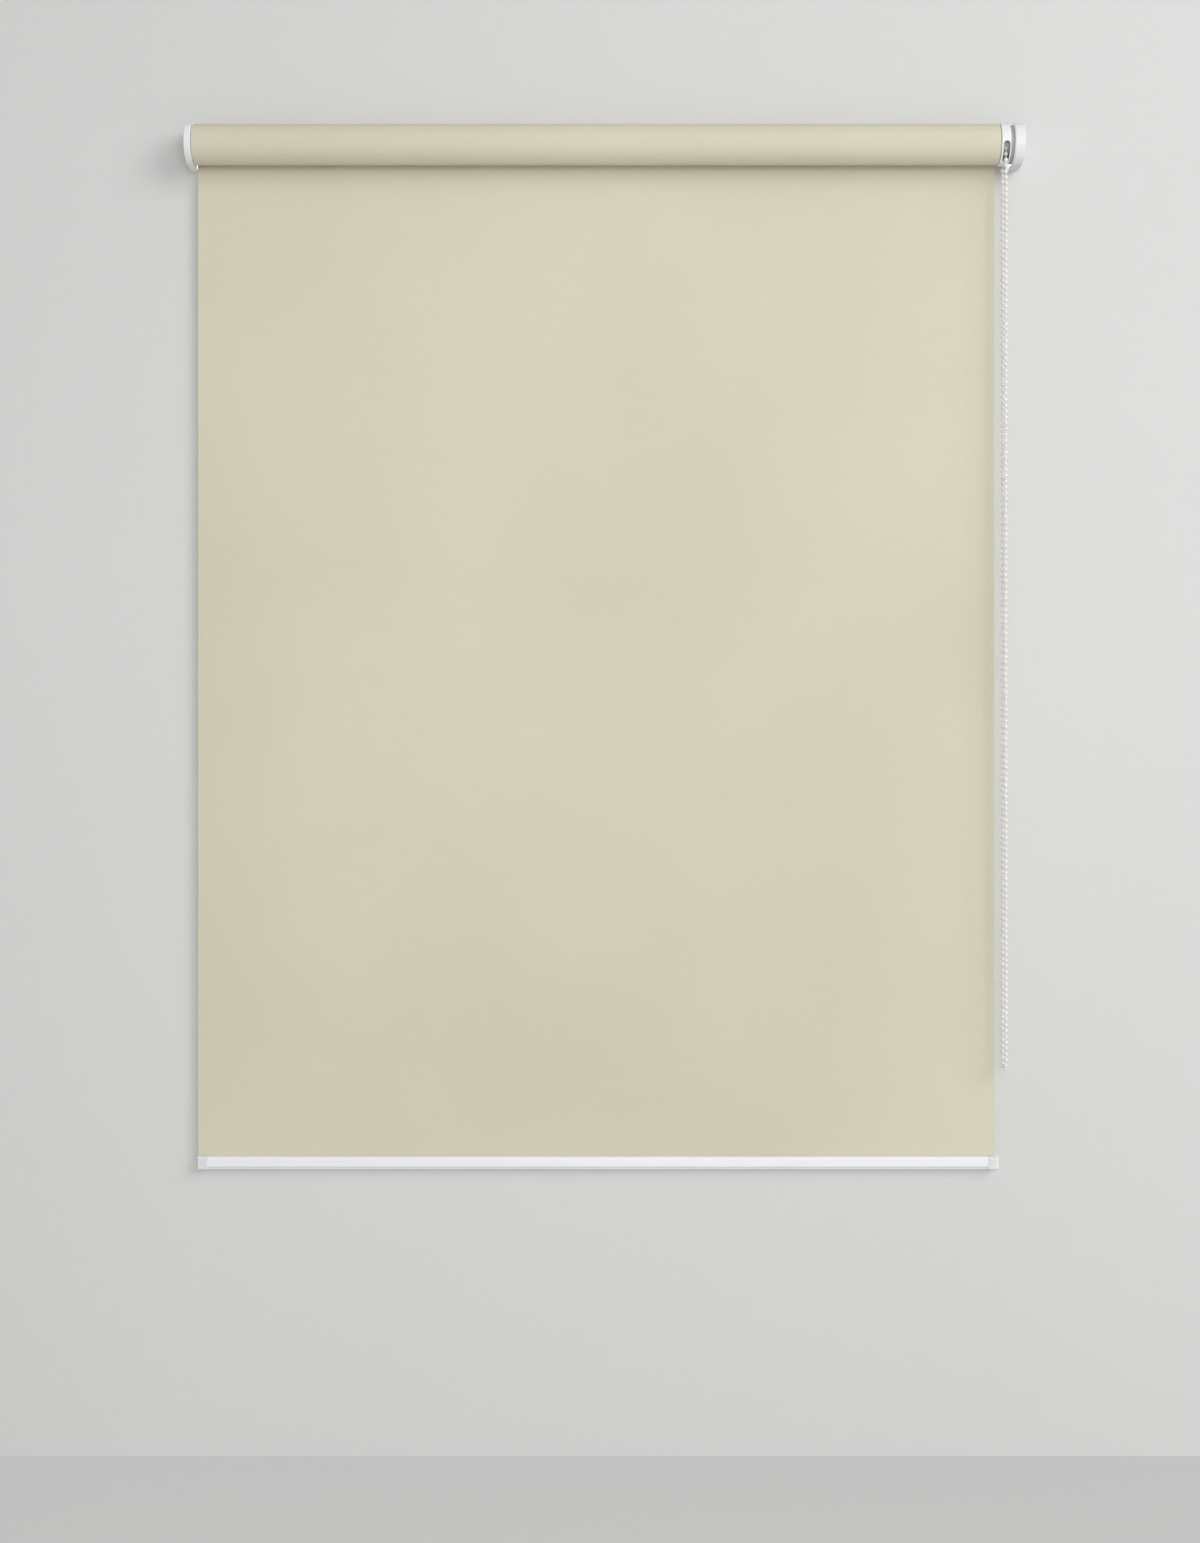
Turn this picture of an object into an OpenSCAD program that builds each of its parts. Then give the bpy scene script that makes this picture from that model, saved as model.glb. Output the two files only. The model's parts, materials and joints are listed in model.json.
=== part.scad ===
// Roller blind worked by an endless bead chain.
// X runs along the tube with the chain at +X, Y towards the wall and Z up.
// The origin is on the wall, at the height of the roll's axis, midway between the brackets' screws.

/* [Blind] */
// Overall width over the bracket covers
blind_w = 860; // [500:1:1400]
// Drop from the roll's axis to the top of the bottom bar
drop = 1045; // [600:1:1800]
// Distance from the wall to the roll's axis
wall_gap = 30; // [29:0.5:40]
// Free gap between the roll's ends and the pieces beside them
end_gap = 0.5; // [0.4:0.1:1.2]

/* [Fabric] */
// Thickness of the fabric
fabric_t = 0.44; // [0.3:0.01:0.6]
// Whole turns of fabric on the tube
roll_turns = 4; // [2:1:6]

/* [Tube] */
// Outer diameter of the tube
tube_d = 38; // [36:0.5:44]
// Wall of the tube
tube_wall = 1.2; // [1:0.1:1.6]
// Width of the channel that holds the fabric's edge
channel_w = 4.6; // [4:0.1:6]
// Depth of the channel
channel_h = 3.2; // [2.8:0.1:4]
// Width of the channel's mouth
channel_mouth = 1.8; // [1.4:0.1:2.4]

/* [Brackets] */
// Radius of the round front of the covers and of the chain guard
cover_r = 21.4; // [20.8:0.1:26]
// Width of the left cover
idle_cover_w = 7.2; // [6.8:0.1:12]
// Width of the right cover
drive_cover_w = 10.8; // [9.4:0.1:14]
// Wall of the covers
cover_wall = 2; // [1.6:0.1:2.2]
// Radius of the covers' corners at the wall
corner_r = 10; // [6:0.5:11]
// Thickness of the brackets' steel
plate_t = 2; // [1.5:0.1:2.4]
// Width of the flange that is screwed to the wall
flange_w = 26; // [24:0.5:40]
// Diameter of the screw holes
screw_hole_d = 4.4; // [3.4:0.1:5.4]
// Height between a bracket's two screw holes
screw_pitch = 13; // [10:0.5:14]
// Distance of the screw holes from the end of the blind
screw_inset = 25; // [23:0.5:28]

/* [Chain drive] */
// Diameter of a bead
bead_d = 4.5; // [4:0.1:4.8]
// Distance from bead to bead
bead_pitch = 6; // [5.8:0.1:6.6]
// Pockets round the chain wheel
pockets = 10; // [10:2:12]
// Diameter of the cord that the beads are moulded on
cord_d = 1.3; // [1:0.1:1.6]
// How far the chain's loop hangs below the roll's axis
chain_drop = 955; // [300:1:1700]
// Width of the chain guard
guard_w = 9.8; // [9.4:0.1:12]
// Wall of the chain guard
guard_wall = 2; // [1.6:0.1:2.4]
// Gap between the guard and the right cover, where the spindle's flange sits
hub_gap = 3.7; // [2.6:0.1:5]
// Diameter of the fixed spindle
core_d = 11; // [10:0.1:12]
// Length of the drum that drives the tube
drum_len = 52; // [50:1:80]

/* [Idle end] */
// Diameter of the sprung pin
pin_d = 6; // [5:0.1:7]
// Travel of the sprung pin
pin_travel = 7; // [6.8:0.1:8]
// Length of the plug in the tube's left end
plug_len = 30; // [28:1:50]

/* [Bottom bar] */
// Height of the bar above its foot
bar_h = 12; // [11:0.1:14]
// Depth of the bar from front to back
bar_d = 9.6; // [9:0.1:12]
// Height of the narrow foot under the bar
foot_h = 1.4; // [1:0.1:2]
// How far the bar passes the fabric at each end
bar_over = 1.9; // [1.9:0.1:6]
// Shift of the bar towards the chain
bar_shift = 1.9; // [0:0.1:1.9]
// Length of an end cap along the bar
cap_w = 10.5; // [8:0.5:16]

/* [Hidden] */
$fn = 48;

// Clearances, and the overrun of every cut
fit = 0.1;
slip = 0.2;
clear = 0.3;
overrun = 1;

// Colours
white_plastic = [0.94, 0.94, 0.95];
cream_fabric = [0.83, 0.81, 0.73];
white_paint = [0.95, 0.95, 0.96];
zinc = [0.72, 0.74, 0.76];
spring_steel = [0.55, 0.56, 0.58];
bare_aluminium = [0.80, 0.81, 0.82];
grey_plastic = [0.62, 0.63, 0.64];

// Roll
axis_y = -wall_gap;
tube_r = tube_d / 2;
tube_ir = tube_r - tube_wall;
wrap_gap = 0.05;
roll_r = tube_r + wrap_gap + roll_turns * fabric_t;
turn_groove = 0.1;
groove_share = 0.25;
turn_groove_h = 0.6;
channel_wall = 1;
channel_floor = tube_r - tube_wall - channel_h;
spline_h = 2.4;
spline_top = tube_r - tube_wall - fit;

// Ends of the roll, in each end's own frame and along the blind
idle_face = idle_cover_w + end_gap;
guard_x = drive_cover_w + hub_gap;
drive_face = guard_x + guard_w + end_gap;
roll_x0 = -blind_w / 2 + idle_face;
roll_x1 = blind_w / 2 - drive_face;
insert_flange_t = 1.6;
insert_r = tube_ir - fit;
flutes = 6;
flute_r = 2.2;
flute_out = 0.5;

// Brackets and covers
edge_r = 1.2;
idle_lip_r = 0.8;
drive_lip_r = cover_wall - slip;
rear_y = wall_gap - corner_r;
rear_z = cover_r - corner_r;
plate_inset = 0.3;
plate_r = cover_r - cover_wall - slip;
bend_r = 2 * plate_t;
flange_z = rear_z - slip;
flange_chamfer = 3;
post_r = 1.8;
post_shares = [[-0.62, 0], [0.7, 0.5], [0.7, -0.5]];

// Idle bush, pin and spring
bush_wall = 1.6;
bush_r = pin_d / 2 + bush_wall;
bush_rim = 1.8;
bush_rim_t = 1.2;
pin_proud = 0.8;
plug_front = 4;
chamber_x = idle_face + plug_front;
plug_cap_t = 4;
chamber_room = 2.6;
chamber_r = pin_d / 2 + chamber_room;
collar_t = 2;
collar_r = chamber_r - clear;
tail_r = pin_d / 3;
tail_len = plug_len - plug_front - plug_cap_t - fit - collar_t - pin_travel - clear;
spring_wire = 0.9;
spring_turns = 6;
spring_r = (tail_r + collar_r) / 2;
coil_steps = 16;
coil_sides = 6;

// Spindle, wheel and guard
core_r = core_d / 2;
boss_share = 1.6;
core_boss = core_r * boss_share;
pitch_r = bead_pitch / (2 * sin(180 / pockets));
pocket_gap = 0.15;
wheel_lip = 0.4;
wheel_rim_t = 0.8;
wheel_w = bead_d + 2 * (pocket_gap + slip + wheel_rim_t);
wheel_rim_r = pitch_r + bead_d / 2 + clear;
cord_groove_r = pitch_r * cos(180 / pockets) - cord_d / 2 - clear;
guard_web = 2.2;
guard_edge_r = guard_wall - 2 * slip;
roll_edge_r = 0.5;
guard_bore = guard_w - guard_web;
chain_x = guard_x + guard_bore / 2;
slot_w = bead_d + guard_web;
slot_x = guard_x + guard_w / 2 - clear;
slot_top = 1.5;
guard_boss_r = 2.2;
guard_boss_angles = [50, 130];
guard_screw_r = 0.85;
guard_screw_len = 7;
guard_screw_head_r = 1.6;
guard_screw_head_t = 1.2;
guard_boss_at = plate_r - guard_screw_head_r - slip - 2 * clear;

// Wrap springs, sleeve and drum
wrap_wire = 1.1;
wrap_turns = 10;
wrap_lap_share = 0.92;
wrap_gap_r = 0.05;
wrap_r = core_r + wrap_gap_r + wrap_wire / 2;
wrap_len = wrap_wire * (1 + (wrap_turns - 1) * wrap_lap_share);
wrap_room = 0.6;
sleeve_ir = wrap_r + wrap_wire / 2 + wrap_room;
sleeve_wall = 1.8;
sleeve_r = sleeve_ir + sleeve_wall;
drum_bore_r = sleeve_r + clear;
drum_end_wall = 10;
drum_wall_x = drive_face + drum_len - drum_end_wall;
sleeve_gap = 2;
sleeve_end = drum_wall_x - sleeve_gap;
sleeve_inset = 3;
sleeve_start = drive_face + sleeve_inset;
wrap_space = 2;
wrap_outer_x = sleeve_start + wrap_space;
wrap_inner_x = wrap_outer_x + wrap_len + wrap_space;
gap_angle = -90;
gap_half = 50;
key_half = 16;
tang_half = 27;
tang_reach = 1.2;
tang_r = sleeve_ir + tang_reach;

// Spindle's screw and clip
core_screw_r = 1.75;
core_screw_len = 16;
core_screw_head_r = core_r;
core_screw_head_t = 2.2;
retainer_t = 1;
retainer_x = drive_face + drum_len + clear;
retainer_w = 2.6;
retainer_r = core_r + retainer_w;
retainer_depth = 0.9;
retainer_seat_r = core_r - retainer_depth;
retainer_grip = 1;
retainer_mouth = 2 * retainer_seat_r - retainer_grip;
core_tail = 2.5;
core_end = retainer_x + retainer_t + core_tail;

// Chain
bead_r = bead_d / 2;
pocket_step = 360 / pockets;
strand_pitches = floor((chain_drop - pitch_r - bead_r) / bead_pitch);
strand = strand_pitches * bead_pitch;

// Sheet and bottom bar
sheet_gap = 0.1;
sheet_y = axis_y + roll_r - fabric_t / 2 + sheet_gap;
bar_slot = 1.4;
pocket_w = 6;
pocket_top = 2.2;
pocket_h = 3.2;
bar_web = 1.2;
bar_floor = 2;
bar_r = 3;
foot_w = 2.6;
bar_spline_h = 2.6;
cap_wall = 0.6;
cap_end = 2;
cap_round = 1.6;
bar_x0 = roll_x0 - bar_over + bar_shift;
bar_x1 = roll_x1 + bar_over + bar_shift;

// Outer face of a bracket's plate, inward from the outer face of its cover
function plate_x(w) = w - plate_inset - plate_t;

// Centre of the bead at step k of a half turn round the wheel, as (y, z)
function turn_at(k) = pitch_r * [cos(k * pocket_step), sin(k * pocket_step)];

// An end's own frame: x runs inward from the outer face, y and z start at the roll's axis
module at_left() translate([-blind_w / 2, axis_y, 0]) children();
module at_right() translate([blind_w / 2, axis_y, 0]) mirror([1, 0, 0]) children();

// Extrudes a drawing of (y, z) along x
module along_x(x0, len) translate([x0, 0, 0]) rotate([90, 0, 90]) linear_extrude(len) children();

// Extrudes a drawing of (z, x) along y
module along_y(y0, len) translate([0, y0, 0]) rotate([-90, 0, 0]) rotate([0, 0, -90])
    linear_extrude(len) children();

// Round rod along x
module rod(x0, x1, r) translate([x0, 0, 0]) rotate([0, 90, 0]) cylinder(r = r, h = x1 - x0);

// Turns a drawing of (radius, x) about the roll's axis
module turned() rotate([0, 90, 0]) rotate_extrude() children();

// Section from the axis out to r, its outer corners rounded by r0 at x = 0 and by r1 at x = w
module rounded_section(r, w, r0, r1) {
    square([r - r0, w / 2]);
    translate([0, w / 2]) square([r - r1, w / 2]);
    translate([0, r0]) square([r, w - r0 - r1]);
    translate([r - r0, r0]) circle(r0);
    translate([r - r1, w - r1]) circle(r1);
}

// Upper half of a disc
module half_disc(r) intersection() {
    circle(r);
    translate([-r, 0]) square([2 * r, r]);
}

// Quarter of a disc
module quarter_disc(r) intersection() {
    circle(r);
    square(r);
}

// Plate that is round at the front, straight back and rounded at its rear corners
module plate_shape() intersection() {
    union() {
        rotate(90) half_disc(plate_r);
        translate([0, -plate_r]) square([rear_y, 2 * plate_r]);
        translate([rear_y, -rear_z]) square([corner_r, 2 * rear_z]);
        for (side = [0, 1]) mirror([0, side]) translate([rear_y, rear_z]) quarter_disc(plate_r - rear_z);
    }
    translate([-plate_r, -plate_r]) square([plate_r + wall_gap - bend_r, 2 * plate_r]);
}

// Sector of a disc about an angle
module sector(r, angle, half) polygon([
    [0, 0],
    r * [cos(angle - half), sin(angle - half)],
    r * [cos(angle + half), sin(angle + half)]
]);

// Upright rounded rectangle whose top is at z = 0
module bar_shape(d, h, r) {
    translate([-d / 2, r - h]) square([d, h - 2 * r]);
    translate([r - d / 2, -h]) square([d - 2 * r, h]);
    for (y = [r - d / 2, d / 2 - r])
        for (z = [-r, r - h]) translate([y, z]) circle(r);
}

// Bent steel bracket with two screw holes in its flange, the children are cut out
module bracket(w) difference() {
    x0 = plate_x(w);
    x1 = x0 + plate_t + flange_w;
    z1 = flange_z - flange_chamfer;
    union() {
        along_x(x0, plate_t) plate_shape();
        translate([x0 + bend_r, wall_gap - bend_r, -flange_z]) linear_extrude(2 * flange_z) bend();
        along_y(wall_gap - plate_t, plate_t) polygon([
            [-flange_z, x0 + bend_r], [-flange_z, x1 - flange_chamfer], [-z1, x1],
            [z1, x1], [flange_z, x1 - flange_chamfer], [flange_z, x0 + bend_r]
        ]);
    }
    for (side = [-1, 1])
        translate([screw_inset, wall_gap - plate_t - overrun, side * screw_pitch / 2])
            rotate([-90, 0, 0]) cylinder(d = screw_hole_d, h = plate_t + 2 * overrun);
    children();
}

// Quarter ring of a bend in the plate
module bend() difference() {
    intersection() {
        circle(bend_r);
        translate([-bend_r, 0]) square(bend_r);
    }
    circle(bend_r - plate_t);
}

// Section of a cover from r = 0 out: its side wall, and its rim with a rounded lip
module cover_section(r, w, lip_r) difference() {
    rounded_section(r, w, edge_r, lip_r);
    translate([0, cover_wall]) square([r - cover_wall, w]);
}

// Moulded cover: a rimmed shell round the front, straight back and round the corners at the wall,
// with posts that stand on the plate
module cover(w, lip_r) {
    rotate([0, 90, 0]) rotate([0, 0, 180]) rotate_extrude(angle = 180) cover_section(cover_r, w, lip_r);
    for (side = [0, 1]) mirror([0, 0, side]) {
        along_y(0, rear_y) cover_section(cover_r, w, lip_r);
        translate([0, rear_y, rear_z]) rotate([0, 90, 0]) rotate([0, 0, 90])
            rotate_extrude(angle = 90) cover_section(corner_r, w, lip_r);
    }
    translate([0, rear_y, -rear_z]) cube([cover_wall, corner_r, 2 * rear_z]);
    for (share = post_shares)
        translate([0, share.x * plate_r, share.y * plate_r]) rod(cover_wall / 2, plate_x(w), post_r);
}

// Fluted insert for an end of the tube, with a flange outside and a notch for the channel
module tube_insert(face, len) {
    notch_w = channel_w + 2 * (channel_wall + slip);
    inner = face + insert_flange_t;
    rod(face, inner, tube_r);
    difference() {
        rod(inner, face + len, insert_r);
        for (k = [1 : flutes])
            rotate([k * 360 / flutes, 0, 0]) translate([0, insert_r + flute_out, 0])
                rod(inner - overrun, face + len + overrun, flute_r);
        translate([inner - overrun, -notch_w / 2, channel_floor - channel_wall - slip])
            cube([len + 2 * overrun, notch_w, tube_r]);
    }
}

module idle_bracket() color(zinc) at_left() bracket(idle_cover_w)
    rod(0, idle_face, bush_r + fit);

module idle_bracket_cover() color(white_plastic) at_left() cover(idle_cover_w, idle_lip_r);

module idle_bush() color(grey_plastic) at_left() difference() {
    x0 = plate_x(idle_cover_w);
    union() {
        rod(x0 - bush_rim_t, x0, bush_r + bush_rim);
        rod(x0, x0 + plate_t, bush_r);
    }
    rod(0, idle_face, pin_d / 2 + fit);
}

module idle_plug() color(grey_plastic) at_left() difference() {
    tube_insert(idle_face, plug_len);
    rod(idle_face - overrun, chamber_x + overrun, pin_d / 2 + fit);
    rod(chamber_x, idle_face + plug_len + overrun, chamber_r);
}

module idle_plug_cap() color(white_plastic) at_left()
    rod(idle_face + plug_len - plug_cap_t, idle_face + plug_len, chamber_r - fit);

module idle_pin() color(zinc) at_left() {
    tip = plate_x(idle_cover_w) - bush_rim_t - pin_proud;
    point = pin_d / 6;
    collar_x = chamber_x + fit;
    turned() polygon([
        [0, tip], [pin_d / 2 - point, tip], [pin_d / 2, tip + point],
        [pin_d / 2, collar_x], [collar_r, collar_x], [collar_r, collar_x + collar_t],
        [tail_r, collar_x + collar_t], [tail_r, collar_x + collar_t + tail_len],
        [0, collar_x + collar_t + tail_len]
    ]);
}

// Coil spring between the pin's collar and the plug's cap
module idle_pin_spring() color(spring_steel) at_left() {
    x0 = chamber_x + collar_t + slip;
    x1 = idle_face + plug_len - plug_cap_t - fit;
    steps = spring_turns * coil_steps;
    rise = (x1 - x0 - spring_wire) / steps;
    points = [for (i = [0 : steps]) for (j = [0 : coil_sides - 1])
        let (
            turn = 360 * i / coil_steps,
            side = 360 * j / coil_sides,
            r = spring_r + spring_wire / 2 * cos(side)
        )
        [x0 + spring_wire / 2 + rise * i + spring_wire / 2 * sin(side), r * cos(turn), r * sin(turn)]
    ];
    walls = [for (i = [0 : steps - 1]) for (j = [0 : coil_sides - 1])
        let (a = i * coil_sides, b = a + coil_sides, k = (j + 1) % coil_sides)
        [a + j, a + k, b + k, b + j]
    ];
    first = [for (j = [coil_sides - 1 : -1 : 0]) j];
    last = [for (j = [0 : coil_sides - 1]) steps * coil_sides + j];
    polyhedron(points, concat([first], walls, [last]));
}

// Extruded tube: a ring with a channel whose mouth opens through the wall
module tube() color(bare_aluminium) translate([0, axis_y, 0])
    along_x(roll_x0 + insert_flange_t, roll_x1 - roll_x0 - 2 * insert_flange_t) difference() {
        union() {
            difference() {
                circle(tube_r);
                circle(tube_ir);
            }
            intersection() {
                circle(tube_r - tube_wall / 2);
                translate([-channel_w / 2 - channel_wall, channel_floor - channel_wall])
                    square([channel_w + 2 * channel_wall, tube_r]);
            }
        }
        translate([-channel_w / 2, channel_floor]) square([channel_w, channel_h]);
        translate([-channel_mouth / 2, channel_floor]) square([channel_mouth, tube_r]);
    }

module tube_spline() color(white_plastic) translate([0, axis_y, 0])
    along_x(roll_x0 + 2 * insert_flange_t, roll_x1 - roll_x0 - 4 * insert_flange_t)
        translate([-channel_w / 2 + slip, spline_top - spline_h]) square([channel_w - 2 * slip, spline_h]);

// Spiral boundary of the roll, k turns in from the outside: each half turn has its own centre
module spiral_disc(k) {
    translate([fabric_t / 4, 0]) half_disc(roll_r - fabric_t / 4 - k * fabric_t);
    translate([-fabric_t / 4, 0]) mirror([0, 1]) half_disc(roll_r - fabric_t * 3 / 4 - k * fabric_t);
}

// Fine groove that shows the edge between two turns on the roll's end
module spiral_groove(k) difference() {
    spiral_disc(k + groove_share);
    spiral_disc(k + groove_share + turn_groove / fabric_t);
}

// Wound turns, with the fabric's inner edge down in the tube's channel
module fabric_roll() color(cream_fabric) translate([0, axis_y, 0]) {
    difference() {
        along_x(roll_x0, roll_x1 - roll_x0) difference() {
            spiral_disc(0);
            circle(tube_r + wrap_gap);
        }
        for (k = [1 : 1 : roll_turns - 2]) {
            along_x(roll_x0 - overrun, turn_groove_h + overrun) spiral_groove(k);
            along_x(roll_x1 - turn_groove_h, turn_groove_h + overrun) spiral_groove(k);
        }
    }
    along_x(roll_x0 + 2 * insert_flange_t, roll_x1 - roll_x0 - 4 * insert_flange_t)
        translate([-fabric_t / 2, spline_top])
            square([fabric_t, tube_r + wrap_gap + fabric_t / 2 - spline_top]);
}

// Fabric where it hangs, from the back of the roll into the bar's slot
module fabric_sheet() color(cream_fabric)
    translate([roll_x0, sheet_y - fabric_t / 2, -drop - pocket_top + clear])
        cube([roll_x1 - roll_x0, fabric_t, drop + pocket_top - clear - slip]);

module drive_bracket() color(zinc) at_right() bracket(drive_cover_w)
    translate([0, -core_boss / 2 - fit, -core_boss / 2 - fit])
        cube([guard_x, core_boss + 2 * fit, core_boss + 2 * fit]);

module drive_bracket_cover() color(white_plastic) at_right() cover(drive_cover_w, drive_lip_r);

// Fixed spindle: a flange against the bracket, a square boss through it and a long barrel
module drive_core() color(grey_plastic) at_right() difference() {
    x0 = plate_x(drive_cover_w);
    union() {
        translate([x0, -core_boss / 2, -core_boss / 2]) cube([plate_t, core_boss, core_boss]);
        rod(x0 + plate_t, guard_x, plate_r);
        rod(guard_x, core_end, core_r);
    }
    rod(x0 - overrun, x0 + core_screw_len + overrun, core_screw_r + fit);
    difference() {
        rod(retainer_x - fit, retainer_x + retainer_t + fit, core_r + overrun);
        rod(retainer_x - overrun, retainer_x + retainer_t + overrun, retainer_seat_r);
    }
    guard_screw_places() {
        rod(x0, guard_x + overrun, guard_screw_r + slip);
        rod(x0, x0 + plate_t + guard_screw_head_t + slip, guard_screw_head_r + slip);
    }
}

module core_screw() color(spring_steel) at_right() {
    x0 = plate_x(drive_cover_w);
    turned() polygon([
        [0, x0 - core_screw_head_t], [core_screw_head_r / 2, x0 - core_screw_head_t],
        [core_screw_head_r, x0 - core_screw_head_t / 2], [core_screw_head_r, x0],
        [core_screw_r, x0], [core_screw_r, x0 + core_screw_len], [0, x0 + core_screw_len]
    ]);
}

// Open clip in the groove at the spindle's inner end
module core_retainer() color(spring_steel) at_right() along_x(retainer_x, retainer_t) difference() {
    circle(retainer_r);
    circle(retainer_seat_r + fit);
    translate([-retainer_mouth / 2, -retainer_r - overrun]) square([retainer_mouth, retainer_r + overrun]);
}

// Puts its children at the two screws that hold the guard
module guard_screw_places() for (angle = guard_boss_angles)
    translate([0, guard_boss_at * cos(angle), guard_boss_at * sin(angle)]) children();

// Round housing of the wheel: a rim and a web beside the roll, with an arched slot for each strand
module chain_guard() color(white_plastic) at_right() difference() {
    union() {
        translate([guard_x, 0, 0]) turned() difference() {
            rounded_section(cover_r, guard_w, guard_edge_r, roll_edge_r);
            translate([0, -overrun]) square([cover_r - guard_wall, guard_bore + overrun]);
            square([sleeve_r + 2 * clear, guard_w + overrun]);
        }
        guard_screw_places() rod(guard_x, guard_x + guard_bore + guard_web / 2, guard_boss_r);
    }
    for (side = [0, 1]) mirror([0, side, 0]) chain_slot();
    guard_screw_places() rod(guard_x - overrun, guard_x + guard_screw_len, guard_screw_r + fit);
}

// Slot that runs out through the rim, arched at the top
module chain_slot() translate([slot_x, 0, 0]) {
    y0 = pitch_r - slot_w / 2;
    arch_z = -slot_top - slot_w / 2;
    translate([-slot_w / 2, y0, -cover_r - overrun]) cube([slot_w, cover_r, cover_r + overrun + arch_z]);
    translate([0, y0, arch_z]) rotate([-90, 0, 0]) cylinder(d = slot_w, h = cover_r);
}

module guard_screws() color(spring_steel) at_right() guard_screw_places() {
    x0 = plate_x(drive_cover_w) + plate_t + slip;
    rod(x0, x0 + guard_screw_head_t, guard_screw_head_r);
    rod(x0, guard_x + guard_screw_len - slip, guard_screw_r);
}

// Wheel with a pocket for each bead, a groove for the cord, and a slotted sleeve that works the springs
module chain_wheel() color(white_plastic) at_right() difference() {
    x0 = chain_x - wheel_w / 2;
    x1 = chain_x + wheel_w / 2;
    cord_w = cord_d + 2 * clear;
    union() {
        rod(x0, x1, pitch_r + wheel_lip);
        rod(x0, x0 + wheel_rim_t, wheel_rim_r);
        rod(x1 - wheel_rim_t, x1, wheel_rim_r);
        rod(x1, sleeve_end, sleeve_r);
    }
    rod(x0 - overrun, sleeve_end + overrun, core_r + fit);
    rod(sleeve_start, sleeve_end + overrun, sleeve_ir);
    along_x(sleeve_start, sleeve_end) sector(tube_r, gap_angle, gap_half);
    for (k = [1 : pockets])
        translate([chain_x, turn_at(k).x, turn_at(k).y]) sphere(bead_r + pocket_gap);
    translate([chain_x - cord_w / 2, 0, 0]) turned()
        translate([cord_groove_r, 0]) square([bead_pitch, cord_w]);
}

// Close-wound spring on the spindle, with a tang at each end in the sleeve's gap
module wrap_spring(x0) color(spring_steel) at_right() {
    turned() for (k = [0 : wrap_turns - 1])
        translate([wrap_r, x0 + wrap_wire / 2 + k * wrap_wire * wrap_lap_share]) circle(d = wrap_wire);
    for (end = [0, 1])
        rotate([gap_angle + (1 - 2 * end) * tang_half, 0, 0])
            translate([x0 + wrap_wire / 2 + end * (wrap_len - wrap_wire), wrap_r, 0])
                rotate([-90, 0, 0]) cylinder(d = wrap_wire - 2 * fit, h = tang_r - wrap_r);
}

module wrap_spring_outer() wrap_spring(wrap_outer_x);

module wrap_spring_inner() wrap_spring(wrap_inner_x);

// Drum that is keyed in the tube, turns on the spindle and has a key between the springs' tangs
module drive_drum() color(grey_plastic) at_right() {
    difference() {
        tube_insert(drive_face, drum_len);
        rod(drive_face - overrun, drum_wall_x, drum_bore_r);
        rod(drum_wall_x - overrun, drive_face + drum_len + overrun, core_r + fit);
    }
    along_x(sleeve_start + clear, drum_wall_x - sleeve_start) intersection() {
        difference() {
            circle(drum_bore_r + overrun);
            circle(sleeve_ir);
        }
        sector(tube_r, gap_angle, key_half);
    }
}

// Endless loop of beads on a cord, over the wheel and down both sides
module chain() color(white_plastic) at_right() translate([chain_x, 0, 0]) {
    for (side = [-1, 1]) translate([0, side * pitch_r, 0]) {
        translate([0, 0, -strand]) cylinder(d = cord_d, h = strand);
        for (k = [0 : strand_pitches]) translate([0, 0, -k * bead_pitch]) sphere(bead_r);
    }
    chain_turn();
    translate([0, 0, -strand]) mirror([0, 0, 1]) chain_turn();
}

// Half turn of the chain
module chain_turn() {
    for (k = [1 : pockets / 2 - 1]) translate([0, turn_at(k).x, turn_at(k).y]) sphere(bead_r);
    for (k = [0 : pockets / 2 - 1]) chain_link(turn_at(k), turn_at(k + 1));
}

// Cord from inside one bead to inside the next
module chain_link(a, b) translate([0, a.x, a.y]) rotate([atan2(a.x - b.x, b.y - a.y), 0, 0])
    translate([0, 0, bead_r / 2]) cylinder(d = cord_d, h = bead_pitch - bead_r);

// Frame of the bottom bar: y from the sheet, z from the bar's top
module at_bar() translate([0, sheet_y, -drop]) children();

// Extruded bar: a rounded section with a foot, a slot and pocket for the fabric, and a hollow
module bottom_bar() color(white_paint) at_bar()
    along_x(bar_x0 + cap_end, bar_x1 - bar_x0 - 2 * cap_end) difference() {
        union() {
            bar_shape(bar_d, bar_h, bar_r);
            translate([-foot_w / 2, -bar_h - foot_h]) square([foot_w, foot_h + bar_floor]);
        }
        translate([-bar_slot / 2, -pocket_top - overrun]) square([bar_slot, pocket_top + 2 * overrun]);
        translate([-pocket_w / 2, -pocket_top - pocket_h]) square([pocket_w, pocket_h]);
        translate([-pocket_w / 2, bar_floor - bar_h])
            square([pocket_w, bar_h - bar_floor - pocket_top - pocket_h - bar_web]);
    }

module bar_spline() color(white_plastic) at_bar()
    along_x(bar_x0 + cap_w, bar_x1 - bar_x0 - 2 * cap_w)
        translate([-pocket_w / 2 + slip, -pocket_top - fit - bar_spline_h])
            square([pocket_w - 2 * slip, bar_spline_h]);

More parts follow.
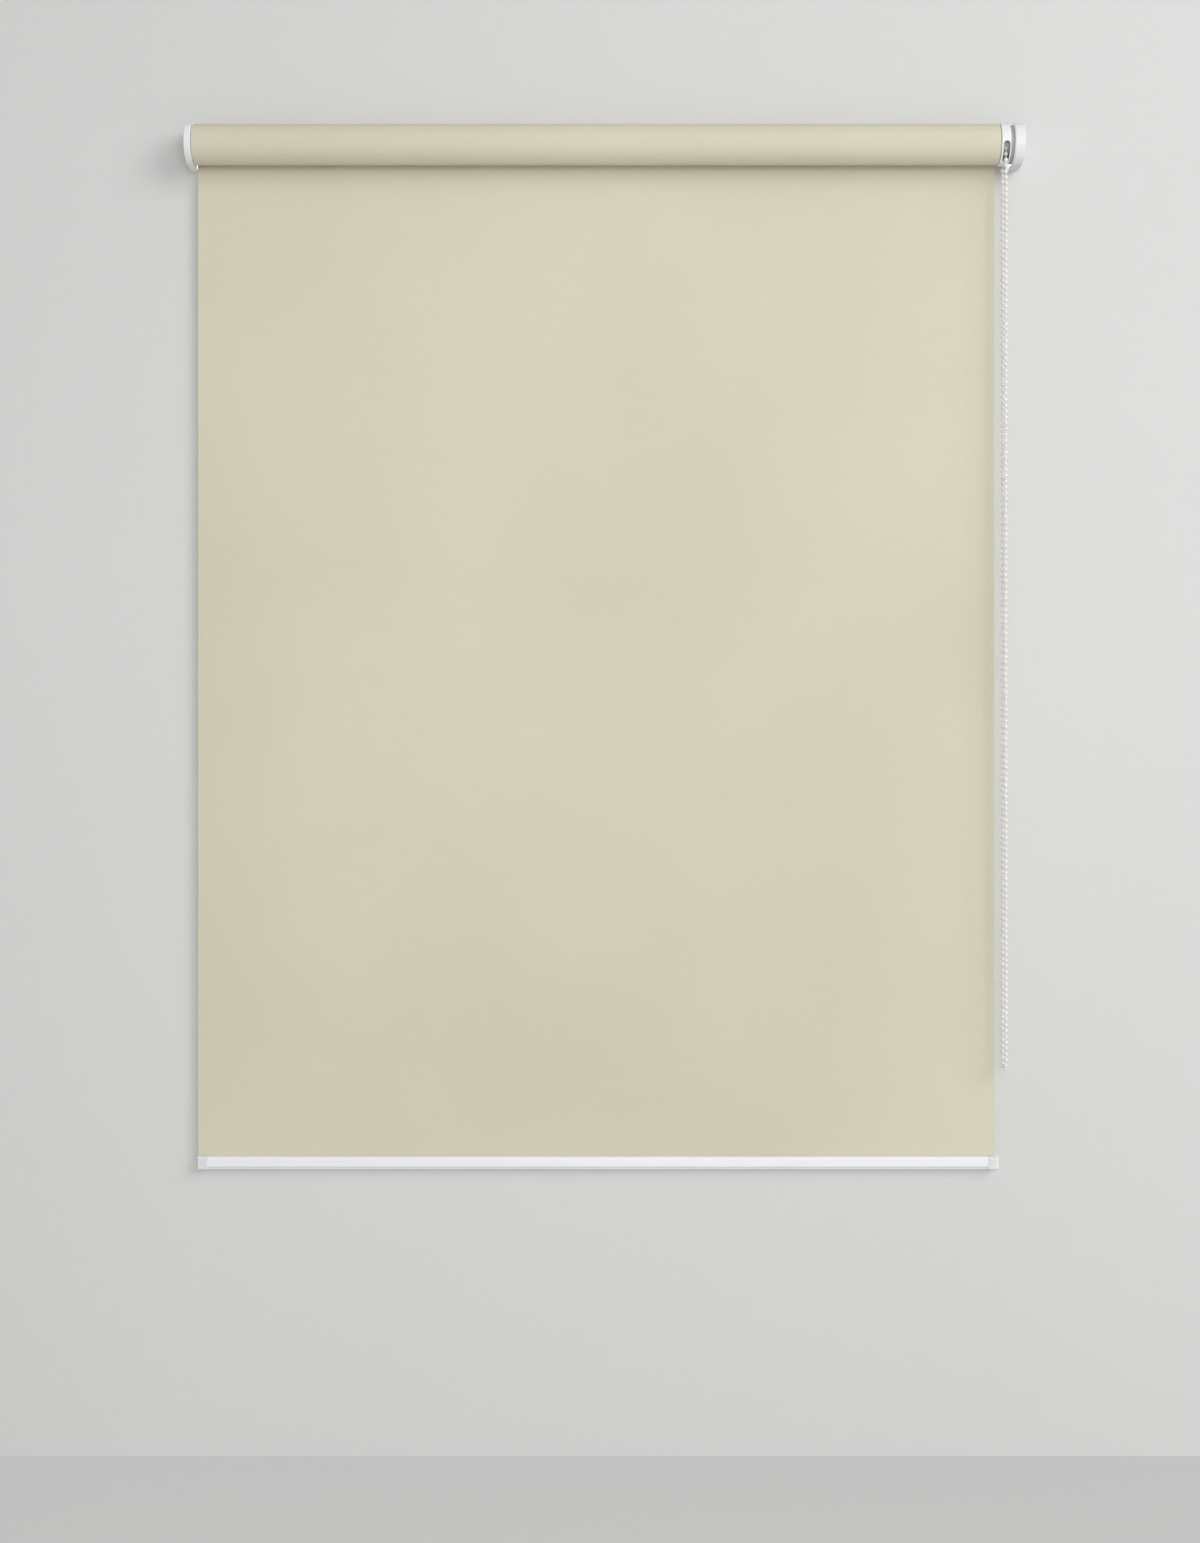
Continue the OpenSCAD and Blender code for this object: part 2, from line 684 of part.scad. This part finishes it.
// Moulded cap that slips over the bar's end, seen from its outer end at x = 0
module bar_end_cap() {
    shell_d = bar_d + 2 * cap_wall;
    shell_h = bar_h + foot_h + 2 * cap_wall;
    difference() {
        intersection() {
            along_x(0, cap_w) translate([0, cap_wall]) bar_shape(shell_d, shell_h, bar_r + cap_wall);
            along_y(-shell_d, 2 * shell_d) translate([cap_wall - shell_h, 0]) cap_side(shell_h);
            translate([0, -shell_d / 2, -shell_h]) linear_extrude(2 * shell_h)
                mirror([1, -1]) cap_side(shell_d);
        }
        along_x(cap_end, cap_w) {
            translate([0, fit]) bar_shape(bar_d + 2 * fit, bar_h + 2 * fit, bar_r + fit);
            translate([-foot_w / 2 - fit, -bar_h - foot_h - fit])
                square([foot_w + 2 * fit, foot_h + bar_floor]);
        }
        along_x(-overrun, cap_w + 2 * overrun)
            translate([-bar_slot / 2, -pocket_top]) square([bar_slot, pocket_top + overrun]);
    }
}

// Side outline of the cap, w wide, rounded at its outer end
module cap_side(w) {
    translate([cap_round, 0]) square([w - 2 * cap_round, cap_w]);
    translate([0, cap_round]) square([w, cap_w - cap_round]);
    for (u = [cap_round, w - cap_round]) translate([u, cap_round]) circle(cap_round);
}

module bar_end_cap_left() color(white_plastic) at_bar() translate([bar_x0, 0, 0]) bar_end_cap();

module bar_end_cap_right() color(white_plastic) at_bar()
    translate([bar_x1, 0, 0]) mirror([1, 0, 0]) bar_end_cap();

idle_bracket();
idle_bracket_cover();
idle_bush();
idle_plug();
idle_plug_cap();
idle_pin();
idle_pin_spring();
tube();
tube_spline();
fabric_roll();
fabric_sheet();
drive_bracket();
drive_bracket_cover();
drive_core();
core_screw();
core_retainer();
chain_guard();
guard_screws();
chain_wheel();
wrap_spring_outer();
wrap_spring_inner();
drive_drum();
chain();
bottom_bar();
bar_spline();
bar_end_cap_left();
bar_end_cap_right();
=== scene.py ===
"""Looks of the chain-operated roller blind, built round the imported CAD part. Lengths are in metres."""

import json
import math

import bpy
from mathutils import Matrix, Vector


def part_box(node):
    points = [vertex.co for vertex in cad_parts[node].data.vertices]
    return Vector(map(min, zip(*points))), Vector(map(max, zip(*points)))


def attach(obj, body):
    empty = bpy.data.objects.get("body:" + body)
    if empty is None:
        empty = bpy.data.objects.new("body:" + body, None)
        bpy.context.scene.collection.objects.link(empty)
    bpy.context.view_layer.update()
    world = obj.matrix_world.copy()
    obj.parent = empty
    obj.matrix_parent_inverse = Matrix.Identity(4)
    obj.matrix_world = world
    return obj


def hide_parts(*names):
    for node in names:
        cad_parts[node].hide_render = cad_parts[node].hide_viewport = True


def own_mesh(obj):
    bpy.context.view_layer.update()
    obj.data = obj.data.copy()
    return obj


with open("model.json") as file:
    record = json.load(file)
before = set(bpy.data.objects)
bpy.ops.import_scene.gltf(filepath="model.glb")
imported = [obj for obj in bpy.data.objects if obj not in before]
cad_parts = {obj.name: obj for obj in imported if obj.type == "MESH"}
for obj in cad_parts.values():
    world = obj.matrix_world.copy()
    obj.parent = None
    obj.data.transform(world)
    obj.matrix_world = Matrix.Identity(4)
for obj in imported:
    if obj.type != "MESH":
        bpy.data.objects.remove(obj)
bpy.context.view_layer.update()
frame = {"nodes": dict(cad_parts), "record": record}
NODES = frame["nodes"]
SCENE = bpy.context.scene


# Camera: square to the wall, below the roll, as the photograph was taken

CAMERA_AT = (-0.0062, -2.25, -0.6438)
LENS_MM = 50.3
SENSOR_MM = 36.0
SHIFT_X = 0.001
SHIFT_Y = -0.001
VIEW_REACH = 50.0


def make_camera():
    data = bpy.data.cameras.new("camera")
    data.sensor_width = SENSOR_MM
    data.lens = LENS_MM
    data.shift_x = SHIFT_X
    data.shift_y = SHIFT_Y
    data.clip_end = VIEW_REACH
    camera = bpy.data.objects.new("camera", data)
    SCENE.collection.objects.link(camera)
    camera.location = CAMERA_AT
    camera.rotation_euler = (math.radians(90), 0, 0)
    SCENE.camera = camera


make_camera()


# Small helpers for meshes and node materials

def add_mesh(name, verts, faces, smooth=True):
    mesh = bpy.data.meshes.new(name)
    mesh.from_pydata(verts, [], faces)
    mesh.update()
    if smooth:
        mesh.polygons.foreach_set("use_smooth", [True] * len(mesh.polygons))
    obj = bpy.data.objects.new(name, mesh)
    SCENE.collection.objects.link(obj)
    return obj


class Nodes:
    """A material under construction: nodes are added in order and linked by name."""

    def __init__(self, name):
        self.material = bpy.data.materials.new(name)
        self.material.use_nodes = True
        self.tree = self.material.node_tree
        self.shader = self.tree.nodes["Principled BSDF"]
        self.coord = self.add("ShaderNodeTexCoord").outputs["Object"]

    def add(self, kind, **settings):
        node = self.tree.nodes.new(kind)
        for key, value in settings.items():
            setattr(node, key, value)
        return node

    def link(self, source, target):
        self.tree.links.new(source, target)

    def scaled(self, scale):
        mapping = self.add("ShaderNodeMapping")
        mapping.inputs["Scale"].default_value = scale
        self.link(self.coord, mapping.inputs["Vector"])
        return mapping.outputs["Vector"]

    def noise(self, scale, detail=2.0, rough=0.5, vector=None):
        node = self.add("ShaderNodeTexNoise")
        node.inputs["Scale"].default_value = scale
        node.inputs["Detail"].default_value = detail
        node.inputs["Roughness"].default_value = rough
        self.link(vector or self.coord, node.inputs["Vector"])
        return node.outputs["Fac"]

    def wave(self, scale, direction):
        node = self.add("ShaderNodeTexWave", bands_direction=direction)
        node.inputs["Scale"].default_value = scale
        self.link(self.coord, node.inputs["Vector"])
        return node.outputs["Fac"]

    def math(self, operation, a, b):
        node = self.add("ShaderNodeMath", operation=operation)
        for socket, value in zip(node.inputs, (a, b)):
            if isinstance(value, float):
                socket.default_value = value
            else:
                self.link(value, socket)
        return node.outputs["Value"]

    def ramp(self, fac, low, high, start, end):
        node = self.add("ShaderNodeValToRGB")
        node.color_ramp.elements[0].position = start
        node.color_ramp.elements[1].position = end
        node.color_ramp.elements[0].color = (*low, 1.0)
        node.color_ramp.elements[1].color = (*high, 1.0)
        self.link(fac, node.inputs["Fac"])
        return node.outputs["Color"]

    def span(self, fac, low, high, start=0.3, end=0.7):
        node = self.add("ShaderNodeMapRange")
        for name, value in (("From Min", start), ("From Max", end), ("To Min", low), ("To Max", high)):
            node.inputs[name].default_value = value
        self.link(fac, node.inputs["Value"])
        return node.outputs["Result"]

    def mix(self, fac, a, b):
        node = self.add("ShaderNodeMix", data_type="RGBA")
        for socket, value in ((node.inputs[0], fac), (node.inputs[6], a), (node.inputs[7], b)):
            if isinstance(value, tuple):
                socket.default_value = (*value, 1.0)
            else:
                self.link(value, socket)
        return node.outputs[2]

    def bump(self, height, strength, distance):
        node = self.add("ShaderNodeBump")
        node.inputs["Strength"].default_value = strength
        node.inputs["Distance"].default_value = distance
        self.link(height, node.inputs["Height"])
        self.link(node.outputs["Normal"], self.shader.inputs["Normal"])

    def set(self, **values):
        for key, value in values.items():
            socket = self.shader.inputs[key.replace("_", " ")]
            if isinstance(value, (float, tuple)):
                socket.default_value = value
            else:
                self.link(value, socket)


# Materials

def fabric_material():
    """Coated cream cloth: a fine weave, slubs and faint broad clouds."""
    threads = 330.0
    slub_stretch = (40.0, 40.0, 900.0)
    m = Nodes("cream_fabric")
    weave = m.math("MULTIPLY", m.wave(threads, "Z"), m.wave(threads, "X"))
    slub = m.noise(1.0, 3.0, 0.6, m.scaled(slub_stretch))
    cloud = m.noise(2.6, 2.0, 0.45)
    base = m.ramp(cloud, (0.655, 0.620, 0.480), (0.690, 0.665, 0.525), 0.35, 0.65)
    thread = m.mix(m.span(slub, 0.0, 0.10), base, (0.58, 0.54, 0.41))
    colour = m.mix(m.span(weave, 0.0, 0.06, 0.0, 1.0), thread, (0.74, 0.71, 0.58))
    m.set(Base_Color=colour, Roughness=m.span(slub, 0.80, 0.92), Specular_IOR_Level=0.25)
    m.set(Sheen_Weight=0.06, Sheen_Roughness=0.5)
    m.bump(m.math("ADD", weave, m.math("MULTIPLY", slub, 0.5)), strength=0.18, distance=0.0002)
    return m.material


def plastic_material(name, low, high, rough, glow):
    """Moulded plastic: faint tone changes and a fine spark-eroded grain. Glow is light through thin walls."""
    m = Nodes(name)
    tone = m.noise(22.0, 3.0)
    grain = m.noise(700.0, 2.0)
    m.set(Base_Color=m.ramp(tone, low, high, 0.35, 0.65), Roughness=m.span(grain, *rough))
    m.set(Specular_IOR_Level=0.45, Subsurface_Weight=glow)
    m.set(Subsurface_Radius=(1.0, 1.0, 1.0), Subsurface_Scale=0.003)
    m.bump(grain, strength=0.12, distance=0.00006)
    return m.material


def chain_material():
    """Slightly milky plastic of the beads and their cord."""
    m = Nodes("chain_plastic")
    tone = m.noise(160.0, 2.0)
    m.set(Base_Color=m.ramp(tone, (0.80, 0.80, 0.79), (0.90, 0.90, 0.89), 0.3, 0.7))
    m.set(Roughness=m.span(m.noise(900.0), 0.22, 0.34))
    m.set(Subsurface_Weight=0.25, Subsurface_Radius=(0.002, 0.002, 0.002))
    return m.material


def coated_bar_material():
    """White powder coat over an extrusion: fine orange peel and drawn lines along its length."""
    m = Nodes("white_aluminium")
    drawn = m.noise(1.0, 2.0, 0.5, m.scaled((6.0, 900.0, 900.0)))
    peel = m.noise(520.0, 2.0)
    m.set(Base_Color=m.ramp(drawn, (0.86, 0.86, 0.89), (0.92, 0.92, 0.94), 0.3, 0.7))
    m.set(Roughness=m.span(peel, 0.26, 0.38), Coat_Weight=0.15, Coat_Roughness=0.2)
    m.bump(peel, strength=0.08, distance=0.00008)
    return m.material


def metal_material(name, low, high, stretch, rough):
    """Metal with a fine grain, drawn out along X where its stretch is uneven, and blotches of tone."""
    m = Nodes(name)
    grain = m.noise(1.0, 3.0, 0.6, m.scaled(stretch))
    blotch = m.noise(90.0, 2.0)
    m.set(Base_Color=m.ramp(blotch, low, high, 0.35, 0.65), Metallic=1.0, Roughness=m.span(grain, *rough))
    m.bump(grain, strength=0.06, distance=0.00006)
    return m.material


PLASTICS = {
    "white_plastic": dict(low=(0.85, 0.85, 0.855), high=(0.91, 0.91, 0.915), rough=(0.28, 0.40), glow=0.4),
    # The grey core's dark tone is partly painted shade: it also stands in for the shade in the narrow gap
    # between the chain guard and the drive cover.
    "grey_plastic": dict(low=(0.33, 0.34, 0.35), high=(0.39, 0.40, 0.41), rough=(0.45, 0.60), glow=0.0),
}
METALS = {
    "zinc_steel": dict(
        low=(0.56, 0.58, 0.60), high=(0.68, 0.70, 0.72), stretch=(200.0, 200.0, 200.0), rough=(0.28, 0.45),
    ),
    "spring_steel": dict(
        low=(0.36, 0.37, 0.39), high=(0.46, 0.47, 0.49), stretch=(60.0, 900.0, 900.0), rough=(0.20, 0.35),
    ),
    "tube_aluminium": dict(
        low=(0.70, 0.71, 0.72), high=(0.78, 0.79, 0.80), stretch=(4.0, 900.0, 900.0), rough=(0.28, 0.45),
    ),
}
BY_SLOT = {
    "cream_fabric": fabric_material(),
    "chain_plastic": chain_material(),
    "white_aluminium": coated_bar_material(),
    **{name: plastic_material(name, **look) for name, look in PLASTICS.items()},
    **{name: metal_material(name, **look) for name, look in METALS.items()},
}


def paint(obj, slot):
    obj.data.materials.clear()
    obj.data.materials.append(BY_SLOT[slot])


for entry in frame["record"]["subparts"]:
    paint(NODES[entry["node"]], entry["material_slot"])


# Bead chain

WHEEL_POCKETS = 10
CORD_R = 0.00065
STRAND_BOW = 0.0031
BEAD_SIDES = 16
BEAD_STACKS = 10
CORD_SIDES = 8
CORD_INSET_SHARE = 0.8


def chain_centres():
    """Bead centres in order, from the top of the wheel round the loop, taken from the CAD node's box.
    The strands hang a little closer together halfway down."""
    low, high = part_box("chain")
    bead_r = (high.x - low.x) / 2
    x = (low.x + high.x) / 2
    y = (low.y + high.y) / 2
    radius = (high.y - low.y) / 2 - bead_r
    step = 2 * math.pi / WHEEL_POCKETS
    pitch = 2 * radius * math.sin(step / 2)
    top = radius * math.sin(math.pi / 2 - step / 2)
    straight = round((high.z - low.z - 2 * bead_r - 2 * top) / pitch)
    foot = -straight * pitch
    half = WHEEL_POCKETS // 2
    gaps = [radius - STRAND_BOW * math.sin(math.pi * k / straight) for k in range(straight)]
    over = [(x, y - radius * math.cos(k * step), radius * math.sin(k * step)) for k in range(half)]
    back = [(x, y + gaps[k], -k * pitch) for k in range(straight)]
    turn = [(x, y + radius * math.cos(k * step), foot - radius * math.sin(k * step)) for k in range(half)]
    front = [(x, y - gaps[k], foot + k * pitch) for k in range(straight)]
    loop = over + back + turn + front
    start = half // 2
    return loop[start:] + loop[:start], bead_r


def heading(start, end):
    """Direction in the YZ plane from one point to another, and their distance."""
    dy, dz = end[1] - start[1], end[2] - start[2]
    length = math.hypot(dy, dz)
    return (dy / length, dz / length), length


def ring_round(centre, direction, along, r, sides):
    """Points of a ring round a line in the YZ plane, at a distance along it from its centre."""
    x, y, z = centre
    ty, tz = direction
    return [
        (x + r * math.cos(a), y + ty * along - tz * r * math.sin(a), z + tz * along + ty * r * math.sin(a))
        for a in (2 * math.pi * j / sides for j in range(sides))
    ]


def add_ring_loft(verts, faces, rings):
    """Joins rings of points, given in order, into a tube with closed ends."""
    base = len(verts)
    sides = len(rings[0])
    for ring in rings:
        verts.extend(ring)
    for i in range(len(rings) - 1):
        for j in range(sides):
            a = base + i * sides
            k = (j + 1) % sides
            faces.append((a + j, a + sides + j, a + sides + k, a + k))
    faces.append(tuple(base + j for j in range(sides)))
    last = base + (len(rings) - 1) * sides
    faces.append(tuple(last + j for j in reversed(range(sides))))


def make_chain():
    centres, bead_r = chain_centres()
    tip = math.asin(CORD_R / bead_r)
    angles = [-math.pi / 2 + tip + (math.pi - 2 * tip) * s / BEAD_STACKS for s in range(BEAD_STACKS + 1)]
    inset = bead_r * CORD_INSET_SHARE
    verts, faces = [], []
    for i, centre in enumerate(centres):
        following = centres[(i + 1) % len(centres)]
        direction, _ = heading(centres[i - 1], following)
        add_ring_loft(verts, faces, [
            ring_round(centre, direction, bead_r * math.sin(a), bead_r * math.cos(a), BEAD_SIDES)
            for a in angles
        ])
        direction, step = heading(centre, following)
        add_ring_loft(verts, faces, [
            ring_round(centre, direction, along, CORD_R, CORD_SIDES) for along in (inset, step - inset)
        ])
    chain = add_mesh("bead_chain", verts, faces)
    paint(chain, "chain_plastic")
    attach(chain, "brackets")
    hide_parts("chain")


make_chain()


# Coil spring behind the sprung pin

SPRING_WIRE_R = 0.00045
SPRING_TURNS = 6
SPRING_STEPS = 32
SPRING_SIDES = 12


def make_pin_spring():
    """An evenly wound coil, the size of the CAD node's box."""
    low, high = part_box("idle_pin_spring")
    coil_r = (high.y - low.y) / 2 - SPRING_WIRE_R
    mid_y, mid_z = (low.y + high.y) / 2, (low.z + high.z) / 2
    length = high.x - low.x
    steps = SPRING_TURNS * SPRING_STEPS
    rings = []
    for i in range(steps + 1):
        turn = 2 * math.pi * i / SPRING_STEPS
        x = low.x + SPRING_WIRE_R + (length - 2 * SPRING_WIRE_R) * i / steps
        ring = []
        for j in range(SPRING_SIDES):
            side = 2 * math.pi * j / SPRING_SIDES
            r = coil_r + SPRING_WIRE_R * math.cos(side)
            along = x + SPRING_WIRE_R * math.sin(side)
            ring.append((along, mid_y + r * math.cos(turn), mid_z + r * math.sin(turn)))
        rings.append(ring)
    verts, faces = [], []
    add_ring_loft(verts, faces, rings)
    spring = add_mesh("pin_coil_spring", verts, faces)
    paint(spring, "spring_steel")
    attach(spring, "roll")
    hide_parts("idle_pin_spring")
    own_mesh(spring)


make_pin_spring()


# Hanging fabric

SHEET_COLUMNS = 60
SHEET_ROWS = 76


def make_sheet():
    """A thin flat slab from the back of the roll down into the bar."""
    low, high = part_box("fabric_sheet")
    width, height = high.x - low.x, high.z - low.z
    across = SHEET_COLUMNS + 1
    count = (SHEET_ROWS + 1) * across
    verts = [
        (low.x + width * (j / SHEET_COLUMNS), y, high.z - height * (i / SHEET_ROWS))
        for y in (low.y, high.y) for i in range(SHEET_ROWS + 1) for j in range(across)
    ]
    faces = []
    for i in range(SHEET_ROWS):
        for j in range(SHEET_COLUMNS):
            a = i * across + j
            b = a + across
            faces.append((a, b, b + 1, a + 1))
            faces.append((a + count, a + count + 1, b + count + 1, b + count))
    edge = list(range(across))
    edge += [i * across + SHEET_COLUMNS for i in range(1, SHEET_ROWS + 1)]
    edge += [SHEET_ROWS * across + j for j in range(SHEET_COLUMNS - 1, -1, -1)]
    edge += [i * across for i in range(SHEET_ROWS - 1, 0, -1)]
    for a, b in zip(edge, edge[1:] + edge[:1]):
        faces.append((a, b, b + count, a + count))
    sheet = add_mesh("hanging_fabric", verts, faces, smooth=False)
    paint(sheet, "cream_fabric")
    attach(sheet, "brackets")
    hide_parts("fabric_sheet")
    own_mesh(sheet)


make_sheet()


# Studio: a pale floor and the pale wall that the blind is screwed to

FLOOR_Z = -1.36
FLOOR_HALF = 20.0
FLOOR_EVEN_SHARE = 0.5
WALL_Y = 0.0006
WALL_TOP = 3.0
WALL_HALF = 4.0
SEEN_PALE = 0.55


def looked_at(tree):
    """1 where the camera looks, straight or by a reflection, and 0 for the light that falls on things."""
    path = tree.nodes.new("ShaderNodeLightPath")
    looks = path.outputs["Is Camera Ray"]
    for ray in ("Is Glossy Ray", "Is Transmission Ray"):
        either = tree.nodes.new("ShaderNodeMath")
        either.operation = "MAXIMUM"
        tree.links.new(looks, either.inputs[0])
        tree.links.new(path.outputs[ray], either.inputs[1])
        looks = either.outputs["Value"]
    return looks


def stage_material(name):
    """Pale matt paint with faint broad tone changes."""
    m = Nodes(name)
    tone = m.ramp(m.noise(0.8, 2.0), (0.68, 0.68, 0.675), (0.71, 0.71, 0.705), 0.3, 0.7)
    m.set(Base_Color=tone, Roughness=0.9, Specular_IOR_Level=0.1)
    return m


def mix_in(m, fac, other):
    """Puts a second shader over the material's own one, by a factor."""
    mix = m.add("ShaderNodeMixShader")
    m.link(fac, mix.inputs[0])
    m.link(m.shader.outputs["BSDF"], mix.inputs[1])
    m.link(other.outputs[0], mix.inputs[2])
    m.link(mix.outputs["Shader"], m.tree.nodes["Material Output"].inputs["Surface"])


def wall_material():
    """The wall is clear from behind, so that the blind's back can be looked at."""
    m = stage_material("pale_wall")
    mix_in(m, m.add("ShaderNodeNewGeometry").outputs["Backfacing"], m.add("ShaderNodeBsdfTransparent"))
    return m.material


def floor_material():
    """The floor's light is half evened out for the camera and for reflections, and keeps half its shadows."""
    m = stage_material("pale_floor")
    pale = m.add("ShaderNodeEmission")
    pale.inputs["Strength"].default_value = SEEN_PALE
    mix_in(m, m.math("MULTIPLY", looked_at(m.tree), FLOOR_EVEN_SHARE), pale)
    return m.material


def add_backdrop(name, half, edges, material):
    """A flat sheet between two edges along X, each given by its (y, z)."""
    verts = [(x, y, z) for y, z in edges for x in (-half, half)]
    backdrop = add_mesh(name, verts, [(0, 2, 3, 1)])
    backdrop.data.materials.append(material)
    return backdrop


def make_stage():
    """Only the camera sees the wall, so that light reaches the blind's back."""
    wall = add_backdrop("wall", WALL_HALF, [(WALL_Y, WALL_TOP), (WALL_Y, FLOOR_Z)], wall_material())
    for ray in ("diffuse", "glossy", "transmission", "shadow"):
        setattr(wall, "visible_" + ray, False)
    add_backdrop("floor", FLOOR_HALF, [(FLOOR_HALF, FLOOR_Z), (-FLOOR_HALF, FLOOR_Z)], floor_material())


make_stage()


# Light: a soft key from the right, a fill from the front and a weak lamp behind the blind

LIGHT_AIM = (0.0, 0.0, -0.5)
WORLD_LIGHT = 0.46


def add_lamp(name, location, size, power):
    light = bpy.data.lights.new(name, "AREA")
    light.shape = "SQUARE"
    light.size = size
    light.energy = power
    lamp = bpy.data.objects.new(name, light)
    SCENE.collection.objects.link(lamp)
    lamp.location = location
    lamp.rotation_euler = (Vector(LIGHT_AIM) - Vector(location)).to_track_quat("-Z", "Y").to_euler()
    lamp.visible_camera = False


def make_world():
    """White light all round, which looks brighter to the camera and in reflections than it shines."""
    world = bpy.data.worlds.new("studio_light")
    world.use_nodes = True
    tree = world.node_tree
    background = tree.nodes["Background"]
    background.inputs["Color"].default_value = (1.0, 1.0, 1.0, 1.0)
    level = tree.nodes.new("ShaderNodeMapRange")
    level.inputs["To Min"].default_value = WORLD_LIGHT
    level.inputs["To Max"].default_value = SEEN_PALE
    tree.links.new(looked_at(tree), level.inputs["Value"])
    tree.links.new(level.outputs["Result"], background.inputs["Strength"])
    SCENE.world = world


add_lamp("key", location=(2.6, -3.0, 1.0), size=2.4, power=68.0)
add_lamp("fill", location=(0.3, -3.4, -0.3), size=1.2, power=28.0)
add_lamp("back", location=(0.0, 3.4, 0.8), size=2.0, power=24.0)
make_world()
SCENE.view_settings.view_transform = "Standard"
